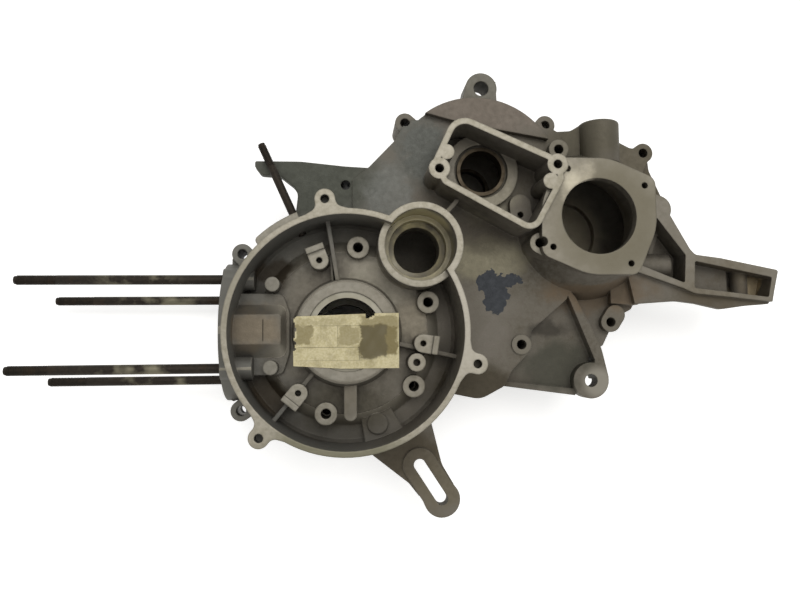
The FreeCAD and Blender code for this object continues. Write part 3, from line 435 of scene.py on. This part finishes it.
    # edges are rounded in the light and rubbed paler
    rounded = addNode(tree, "Bevel", {"samples": 6, "Radius": finish["edgeRadius"] * mm})
    away = addNode(tree, "VectorMath", {"operation": "DOT_PRODUCT"},
                   {0: rounded.outputs[0], 1: geometry.outputs["True Normal"]})
    rubbed = addNode(tree, "MapRange", {1: 0.97, 2: 0.80, 3: 0.0, 4: finish["rubbedShare"]},
                     {0: away.outputs["Value"]}).outputs[0]
    tone = blend(tree, rubbed, tone, finish["rubbed"])

    smoothest, roughest = finish["skinRoughness"]
    roughSkin = addNode(tree, "MapRange", {1: 0.3, 2: 0.7, 3: smoothest, 4: roughest},
                        {0: speck.outputs[0]}).outputs[0]
    roughness = addNode(tree, "Mix", {"data_type": "FLOAT", 3: finish["faceRoughness"]},
                        {0: skimmed, 2: roughSkin}).outputs[0]
    bare, covered = finish["metallic"]
    metal = addNode(tree, "MapRange", {1: 0.0, 2: 0.8, 3: bare, 4: covered},
                    {0: largest(tree, [darkened, grimeAndShadeMask])}).outputs[0]

    rough = addNode(tree, "Math", {"operation": "MULTIPLY_ADD", 1: 0.35},
                    {0: pits.outputs["Distance"], 2: grain.outputs[0]}).outputs[0]
    relief = addNode(tree, "Mix", {"data_type": "FLOAT"},
                     {0: skimmed, 2: rough, 3: cutter.outputs[0]}).outputs[0]
    bump = addNode(tree, "Bump", {"Strength": 0.35, "Distance": finish["reliefDepth"] * mm},
                   {"Height": relief, "Normal": rounded.outputs[0]})
    shader = addNode(tree, "BsdfPrincipled", {},
                     {"Base Color": tone, "Metallic": metal, "Roughness": roughness,
                      "Normal": bump.outputs[0]})
    addNode(tree, "OutputMaterial", {}, {0: shader.outputs[0]})
    return material


dress(["crankcase_front_half"], castAluminium("dieCastAluminiumFront", castFinish, frontLook))
dress(["crankcase_rear_half"], castAluminium("dieCastAluminiumRear", castFinish, rearLook))
print("castings dressed")


# ground bearing steel: a soft sheen with fine lines from the wheel, under a film of oil
ringFinish = {"steel": "#7E7A6E", "film": "#6E6A5D", "filmSize": 14.0, "lineSize": 0.5,
              "roughness": (0.34, 0.5)}
# turned bronze bush under old oil: a dull brown edge that catches little light
bushFinish = {"steel": "#4C4438", "film": "#352E24", "filmSize": 7.0, "lineSize": 0.6,
              "roughness": (0.45, 0.6)}


def turnedMetal(name, finish):
    material, tree = newMaterial(name)
    place = placeInMm(tree)
    film = addNode(tree, "TexNoise", {"Scale": 1.0 / finish["filmSize"], "Detail": 3.0},
                   {"Vector": place})
    lines = addNode(tree, "TexNoise", {"Scale": 1.0 / finish["lineSize"], "Detail": 1.0},
                    {"Vector": addNode(tree, "Mapping", {"Scale": (0.05, 0.05, 1.0)},
                                       {"Vector": place}).outputs[0]})
    darkened = addNode(tree, "MapRange", {1: 0.4, 2: 0.7}, {0: film.outputs[0]}).outputs[0]
    tone = blend(tree, darkened, finish["steel"], finish["film"])
    smooth, rough = finish["roughness"]
    roughness = addNode(tree, "MapRange", {3: smooth, 4: rough}, {0: lines.outputs[0]}).outputs[0]
    bump = addNode(tree, "Bump", {"Strength": 0.1, "Distance": 0.05 * mm},
                   {"Height": lines.outputs[0]})
    shader = addNode(tree, "BsdfPrincipled", {"Metallic": 1.0},
                     {"Base Color": tone, "Roughness": roughness, "Normal": bump.outputs[0]})
    addNode(tree, "OutputMaterial", {}, {0: shader.outputs[0]})
    return material


dress([name for name in cadNodes if "ring" in name or "dowel" in name],
      turnedMetal("groundBearingSteel", ringFinish))
dress([name for name in cadNodes if "bush" in name], turnedMetal("oiledBronze", bushFinish))
print("rings, bushes and dowels dressed")


# drawn steel studs with rolled threads: nearly black with oil and heat, rubbed grey in the middle
studFinish = {"brown": "#332D26", "black": "#27231E", "worn": "#736E5C", "rust": "#3F3122",
              "wearSize": 16.0, "scaleSize": 2.0, "wearFade": 25.0, "roughness": (0.5, 0.7)}


def brownedSteel(name, finish, wornFrom, wornTo):
    material, tree = newMaterial(name)
    place = placeInMm(tree)
    along = addNode(tree, "SeparateXYZ", {}, {0: place}).outputs["X"]
    wear = addNode(tree, "TexNoise", {"Scale": 1.0 / finish["wearSize"], "Detail": 5.0},
                   {"Vector": place})
    scale = addNode(tree, "TexNoise", {"Scale": 1.0 / finish["scaleSize"], "Detail": 4.0},
                    {"Vector": place})
    fade = finish["wearFade"]
    middle = addNode(tree, "MapRange", {"interpolation_type": "SMOOTHSTEP", 1: wornFrom,
                                        2: wornFrom + fade}, {0: along}).outputs[0]
    ending = addNode(tree, "MapRange", {"interpolation_type": "SMOOTHSTEP", 1: wornTo - fade,
                                        2: wornTo, 3: 1.0, 4: 0.0}, {0: along}).outputs[0]
    rubbed = addNode(tree, "MapRange", {1: 0.42, 2: 0.62}, {0: wear.outputs[0]}).outputs[0]
    rubbed = product(tree, rubbed, middle, ending)
    dark = addNode(tree, "MapRange", {1: 0.35, 2: 0.65}, {0: scale.outputs[0]}).outputs[0]
    rusty = addNode(tree, "MapRange", {1: 0.55, 2: 0.75, 3: 0.0, 4: 0.6},
                    {0: wear.outputs[0]}).outputs[0]
    tone = blend(tree, dark, finish["black"], finish["brown"])
    tone = blend(tree, rusty, tone, finish["rust"])
    tone = blend(tree, rubbed, tone, finish["worn"])
    smooth, rough = finish["roughness"]
    roughness = addNode(tree, "MapRange", {3: smooth, 4: rough}, {0: scale.outputs[0]}).outputs[0]
    bump = addNode(tree, "Bump", {"Strength": 0.25, "Distance": 0.1 * mm},
                   {"Height": scale.outputs[0]})
    shader = addNode(tree, "BsdfPrincipled", {"Metallic": 0.85},
                     {"Base Color": tone, "Roughness": roughness, "Normal": bump.outputs[0]})
    addNode(tree, "OutputMaterial", {}, {0: shader.outputs[0]})
    return material


# the numbers are the ends along x, in mm, of the length that is rubbed
studSteel = brownedSteel("brownedStudSteel", studFinish, -215.0, -125.0)
intakeSteel = brownedSteel("brownedIntakeStudSteel", studFinish, -66.0, -56.0)

studShape = {
    "pitch": 1.25,          # mm, M8 coarse thread
    "rootRatio": 0.85,      # root radius against the outside
    "outerThread": 34.0,    # mm of thread at the free end
    "radius": 4.0,
    "shankRatio": 0.98,
    "coreRadius": 3.4,      # mm, the part that sits in the tapped hole
    "ridgeSink": 0.25,      # mm, how far the ridge's foot is set into the rod
    "ridgeGap": 0.03,       # mm, half the gap between two turns
    "leadIn": 1.2,          # mm of plain rod before the first turn
    "overlap": 1.4,         # mm, how far shank and thread run into one another
    "chamfer": 0.7,
    "turnSteps": 18,
    "sides": 32,
}


def threadRidge(start, length, radius, shape):  # one closed ridge wound round the x axis
    foot = radius * shape["rootRatio"] - shape["ridgeSink"]
    pitch, gap = shape["pitch"], shape["ridgeGap"]
    deselect()
    bpy.ops.mesh.primitive_circle_add(vertices=3, radius=1.0, location=(0.0, 0.0, 0.0))
    ridge = bpy.context.object
    corners = ((gap, foot), (pitch / 2.0, radius), (pitch - gap, foot))
    for vertex, (along, out) in zip(ridge.data.vertices, corners):
        vertex.co = ((start + along) * mm, 0.0, out * mm)
    screw = ridge.modifiers.new("wind", "SCREW")
    screw.axis = "X"
    screw.angle = 2.0 * math.pi
    screw.screw_offset = pitch * mm
    screw.iterations = int(length / pitch)
    screw.steps = shape["turnSteps"]
    screw.render_steps = shape["turnSteps"]
    screw.use_merge_vertices = False
    bpy.ops.object.modifier_apply(modifier="wind")
    bpy.ops.object.mode_set(mode="EDIT")
    bpy.ops.mesh.select_all(action="SELECT")
    bpy.ops.mesh.fill_holes(sides=3)
    bpy.ops.mesh.select_all(action="SELECT")
    bpy.ops.mesh.normals_make_consistent(inside=False)
    bpy.ops.object.mode_set(mode="OBJECT")
    return ridge


def studRod(start, end, radius, shape):  # a bar along x with chamfered ends
    deselect()
    bpy.ops.mesh.primitive_cylinder_add(vertices=shape["sides"], radius=radius * mm,
                                        depth=(end - start) * mm,
                                        location=((start + end) / 2.0 * mm, 0.0, 0.0),
                                        rotation=(0.0, math.pi / 2.0, 0.0))
    rod = bpy.context.object
    bpy.ops.object.transform_apply(location=True, rotation=True, scale=True)
    chamfer = rod.modifiers.new("chamfer", "BEVEL")
    chamfer.width = shape["chamfer"] * mm
    chamfer.segments = 2
    chamfer.limit_method = "ANGLE"
    chamfer.angle_limit = math.radians(60.0)
    bpy.ops.object.modifier_apply(modifier="chamfer")
    bpy.ops.object.shade_smooth_by_angle(angle=math.radians(35.0))
    return rod


def makeStud(name, length, buried, shape):  # free end at x = 0, flange at x = length
    radius, outer = shape["radius"], shape["outerThread"]
    pieces = [
        studRod(0.0, outer + 1.0, radius * shape["rootRatio"], shape),
        studRod(outer - shape["overlap"], length - 0.1, radius * shape["shankRatio"], shape),
        studRod(length - 2.0, length + buried, shape["coreRadius"], shape),
        threadRidge(shape["leadIn"], outer - 1.6, radius, shape),
    ]
    return joinPieces(pieces, name)


flangeX = -100.0  # mm, the face of the cylinder flange
for cadName in [name for name in cadNodes if name.startswith("cylinder_stud")]:
    low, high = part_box(cadName)
    label = "".join(word.capitalize() for word in cadName.split("_")[2:])
    stud = makeStud("threadedStud" + label, flangeX - low.x / mm, high.x / mm - flangeX,
                    studShape)
    stud.location = (low.x, (low.y + high.y) / 2.0, (low.z + high.z) / 2.0)
    finishPiece(stud, studSteel, [cadName])

intakeShape = {**studShape, "radius": 3.5, "outerThread": 22.0}
intakeSetup = {"degrees": 114.2, "tip": 174.2, "foot": 100.0, "buried": 11.0}  # mm from the crank
intakeLow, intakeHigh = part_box("intake_stud")
intakeAngle = math.radians(intakeSetup["degrees"])
intakeTip = Vector((math.cos(intakeAngle), math.sin(intakeAngle), 0.0)) * intakeSetup["tip"] * mm
intakeTip.z = (intakeLow.z + intakeHigh.z) / 2.0
intake = makeStud("threadedStudIntake", intakeSetup["tip"] - intakeSetup["foot"],
                  intakeSetup["buried"], intakeShape)
intake.rotation_euler = (0.0, 0.0, intakeAngle + math.pi)
intake.location = intakeTip
finishPiece(intake, intakeSteel, ["intake_stud"])
print("studs threaded")


# paper slip: thin ruled stock, yellowed and creased, soaked with oil at its right end
labelShape = {
    "cell": 1.0,            # mm, size of the sheet's cells, small enough to tear along
    "thickness": 0.3,
    "wave": 1.3,            # mm, how far the paper lifts
    # its four straight sides: a point on each, in mm, and the way inwards
    "sides": (((-42.0, 12.0), (0.035, -1.0)), ((-42.2, 0.0), (1.0, 0.02)),
              ((40.3, 0.0), (-1.0, 0.0)), ((-13.3, -28.2), (0.062, 1.0))),
}
labelFinish = {
    "paper": "#C8BC90",
    "pale": "#DACFA8",
    "aged": "#6E6136",
    "oiled": "#544A26",
    "rule": "#5A5038",
    "fibreSize": 1.5,       # mm
    "cloudSize": 9.0,
    "creaseSize": 14.0,
    "edgeDrift": 13.0,      # mm, how unevenly the patches end
    "roughness": (0.85, 0.5),       # dry and soaked
    # boxes on the sheet in mm: middle, half sides and strength
    "patches": (((-34.0, -2.5, 60.5), (6.5, 8.0, 40.0), 0.65),
                ((1.2, -3.5, 60.5), (8.0, 8.0, 40.0), 0.5),
                ((25.0, 8.5, 60.5), (14.0, 3.6, 40.0), 0.6),
                ((-20.0, 8.0, 60.5), (20.0, 2.2, 40.0), 0.3),
                ((24.0, -6.5, 60.5), (15.0, 12.5, 40.0), 0.85)),
    "soaks": (((20.5, -8.0, 60.5), (10.5, 13.0, 40.0), 0.9),),
    "rules": (((-15.0, -12.2, 60.5), (24.0, 0.3, 40.0), 0.55),
              ((-13.0, 4.6, 60.5), (25.0, 0.25, 40.0), 0.4),
              ((-13.0, -22.4, 60.5), (26.0, 0.25, 40.0), 0.35),
              ((-7.4, -3.6, 60.5), (0.28, 8.5, 40.0), 0.5),
              ((9.2, -17.3, 60.5), (0.28, 5.0, 40.0), 0.5)),
}


def makeLabel(shape):
    low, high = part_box("paper_label")
    columns = round((high.x - low.x) / mm / shape["cell"])
    rows = round((high.y - low.y) / mm / shape["cell"])
    deselect()
    bpy.ops.mesh.primitive_grid_add(x_subdivisions=columns, y_subdivisions=rows, size=1.0)
    sheet = bpy.context.object
    sheet.name = "paperLabel"
    sheet.scale = (high.x - low.x, high.y - low.y, 1.0)
    sheet.location = ((low.x + high.x) / 2.0, (low.y + high.y) / 2.0, low.z + 0.1 * mm)
    bpy.ops.object.transform_apply(location=True, rotation=True, scale=True)
    bpy.ops.object.mode_set(mode="EDIT")
    for (x, y), (nx, ny) in shape["sides"]:
        bpy.ops.mesh.select_all(action="SELECT")
        bpy.ops.mesh.bisect(plane_co=(x * mm, y * mm, 0.0), plane_no=(nx, ny, 0.0),
                            clear_inner=True)
    bpy.ops.object.mode_set(mode="OBJECT")
    for face in sheet.data.polygons:  # a torn nick at the top and a ragged left side
        x, y = face.center.x / mm, face.center.y / mm
        ragged = -40.6 + 1.5 * math.sin(y * 0.9) * math.sin(y * 0.37 + 1.0)
        nick = 14.9 < x < 20.5 + 0.7 * math.sin(y * 2.0) and y > 10.4 + 0.25 * (x - 15.0)
        face.select = nick or (x < ragged and y > -15.0)
    bpy.ops.object.mode_set(mode="EDIT")
    bpy.ops.mesh.select_mode(type="FACE")
    bpy.ops.mesh.delete(type="FACE")
    bpy.ops.object.mode_set(mode="OBJECT")
    for vertex in sheet.data.vertices:  # the sheet sags into the bore and curls at its ends
        x, y = vertex.co.x / mm, vertex.co.y / mm
        swell = (math.sin(x * 0.11 + 0.6) * math.sin(y * 0.16 + 1.1)
                 + 0.45 * math.sin(x * 0.31 + y * 0.22)
                 + 0.3 * math.sin(x * 0.63 - y * 0.41 + 2.0))
        end = max(0.0, abs(x + 1.0) - 34.0) / 8.0
        vertex.co.z += max(0.0, 0.35 * swell * shape["wave"] + 0.4 + end * 0.5) * mm
    wall = sheet.modifiers.new("stock", "SOLIDIFY")
    wall.thickness = shape["thickness"] * mm
    wall.offset = 1.0
    bpy.ops.object.modifier_apply(modifier="stock")
    bpy.ops.object.shade_smooth_by_angle(angle=math.radians(35.0))
    return sheet


def yellowedPaper(name, finish):
    material, tree = newMaterial(name)
    place = placeInMm(tree)
    cloud = addNode(tree, "TexNoise", {"Scale": 1.0 / finish["cloudSize"], "Detail": 6.0,
                                       "Roughness": 0.6}, {"Vector": place})
    fibre = addNode(tree, "TexNoise", {"Scale": 1.0 / finish["fibreSize"], "Detail": 4.0},
                    {"Vector": place})
    crease = addNode(tree, "TexNoise", {"Scale": 1.0 / finish["creaseSize"], "Detail": 2.0,
                                        "Distortion": 1.5}, {"Vector": place})
    shift = addNode(tree, "VectorMath", {"operation": "SUBTRACT", 1: (0.5, 0.5, 0.5)},
                    {0: cloud.outputs["Color"]})
    drift = finish["edgeDrift"]
    loose = addNode(tree, "VectorMath", {"operation": "MULTIPLY_ADD", 1: (drift, drift, 0.0)},
                    {0: shift.outputs[0], 2: place}).outputs[0]
    clouded = addNode(tree, "MapRange", {1: 0.45, 2: 0.75, 3: 0.0, 4: 0.5},
                      {0: cloud.outputs[0]}).outputs[0]
    pale = addNode(tree, "MapRange", {1: 0.35, 2: 0.65}, {0: fibre.outputs[0]}).outputs[0]
    tone = blend(tree, pale, finish["paper"], finish["pale"])
    aged = largest(tree, [clouded] + [boxMask(tree, loose, *patch) for patch in finish["patches"]])
    tone = blend(tree, aged, tone, finish["aged"])
    soaked = largest(tree, [boxMask(tree, loose, *soak) for soak in finish["soaks"]])
    tone = blend(tree, soaked, tone, finish["oiled"])
    ruled = largest(tree, [boxMask(tree, place, *rule) for rule in finish["rules"]])
    tone = blend(tree, ruled, tone, finish["rule"])
    bump = addNode(tree, "Bump", {"Strength": 0.5, "Distance": 0.4 * mm},
                   {"Height": crease.outputs[0]})
    dry, wet = finish["roughness"]
    roughness = addNode(tree, "MapRange", {3: dry, 4: wet}, {0: soaked}).outputs[0]
    shader = addNode(tree, "BsdfPrincipled", {"Metallic": 0.0},
                     {"Base Color": tone, "Roughness": roughness, "Normal": bump.outputs[0]})
    addNode(tree, "OutputMaterial", {}, {0: shader.outputs[0]})
    return material


paperLabel = makeLabel(labelShape)
finishPiece(paperLabel, yellowedPaper("yellowedPaper", labelFinish), ["paper_label"])
print("label laid")


# white floor and room, one soft lamp, and the photograph's camera
stageSetup = {"floorHeight": cadLow.z - 0.2 * mm, "floorSize": 6.0, "floorColour": "#F4F3F0",
              "darkRadius": 0.075, "lift": 0.55, "worldLevel": 0.5,
              "lampFrom": (0.10, 0.38, 0.92), "lampPower": 1.15, "lampAngle": 0.7}

seenRays = ("Is Camera Ray", "Is Glossy Ray", "Is Transmission Ray")
floorMaterial, floorTree = newMaterial("paleFloor")
rays = addNode(floorTree, "LightPath")
seen = largest(floorTree, [rays.outputs[kind] for kind in seenRays])
under = addNode(floorTree, "VectorMath", {"operation": "LENGTH"},  # no glow under the crank bore, a painted shadow on the floor seen through it
                {0: addNode(floorTree, "TexCoord").outputs["Object"]})
clear = addNode(floorTree, "Math", {"operation": "GREATER_THAN", 1: stageSetup["darkRadius"]},
                {0: under.outputs["Value"]})
liftLevel = product(floorTree, seen, clear.outputs[0], stageSetup["lift"])
matt = addNode(floorTree, "BsdfDiffuse", {"Color": linear(stageSetup["floorColour"])})
glow = addNode(floorTree, "Emission", {"Color": (1.0, 1.0, 1.0, 1.0)},
               {"Strength": liftLevel})
both = addNode(floorTree, "AddShader", {}, {0: matt.outputs[0], 1: glow.outputs[0]})
addNode(floorTree, "OutputMaterial", {}, {0: both.outputs[0]})

deselect()
bpy.ops.mesh.primitive_plane_add(size=stageSetup["floorSize"],
                                 location=(0.0, 0.0, stageSetup["floorHeight"]))
floor = bpy.context.object
floor.name = "paleFloor"
bpy.ops.object.transform_apply(location=True, rotation=True, scale=True)
floor.data.materials.append(floorMaterial)

world = bpy.data.worlds.new("softRoom")
bpy.context.scene.world = world
world.use_nodes = True
skyTree = world.node_tree
skyTree.nodes.clear()
skyRays = addNode(skyTree, "LightPath")
skySeen = largest(skyTree, [skyRays.outputs[kind] for kind in seenRays])
skyLevel = addNode(skyTree, "MapRange", {3: stageSetup["worldLevel"], 4: 1.0}, {0: skySeen})
sky = addNode(skyTree, "Background", {"Color": (1.0, 1.0, 1.0, 1.0)},
              {"Strength": skyLevel.outputs[0]})
addNode(skyTree, "OutputWorld", {}, {0: sky.outputs[0]})

bpy.ops.object.light_add(type="SUN", location=(0.0, 0.0, 1.0))
lamp = bpy.context.object
lamp.name = "softLamp"
lamp.data.energy = stageSetup["lampPower"]
lamp.data.angle = stageSetup["lampAngle"]
lamp.rotation_euler = Vector(stageSetup["lampFrom"]).to_track_quat("Z", "Y").to_euler()

cameraSetup = {"place": (-0.0018, -0.0143, 0.6016), "forward": (0.0797, 0.0715, -0.9942),
               "right": (0.9968, -0.0097, 0.0793), "lens": 31.05, "sensor": 36.0}
cameraData = bpy.data.cameras.new("photoCamera")
cameraData.lens = cameraSetup["lens"]
cameraData.sensor_width = cameraSetup["sensor"]
cameraData.clip_start = 0.01
camera = bpy.data.objects.new("photoCamera", cameraData)
bpy.context.scene.collection.objects.link(camera)
forward = Vector(cameraSetup["forward"]).normalized()
sideways = Vector(cameraSetup["right"])
right = (sideways - forward * forward.dot(sideways)).normalized()
turn = Matrix((right, right.cross(forward), -forward)).transposed()
camera.matrix_world = Matrix.Translation(cameraSetup["place"]) @ turn.to_4x4()
bpy.context.scene.camera = camera
bpy.context.scene.view_settings.view_transform = "Standard"
print("stage, lamp and camera set")
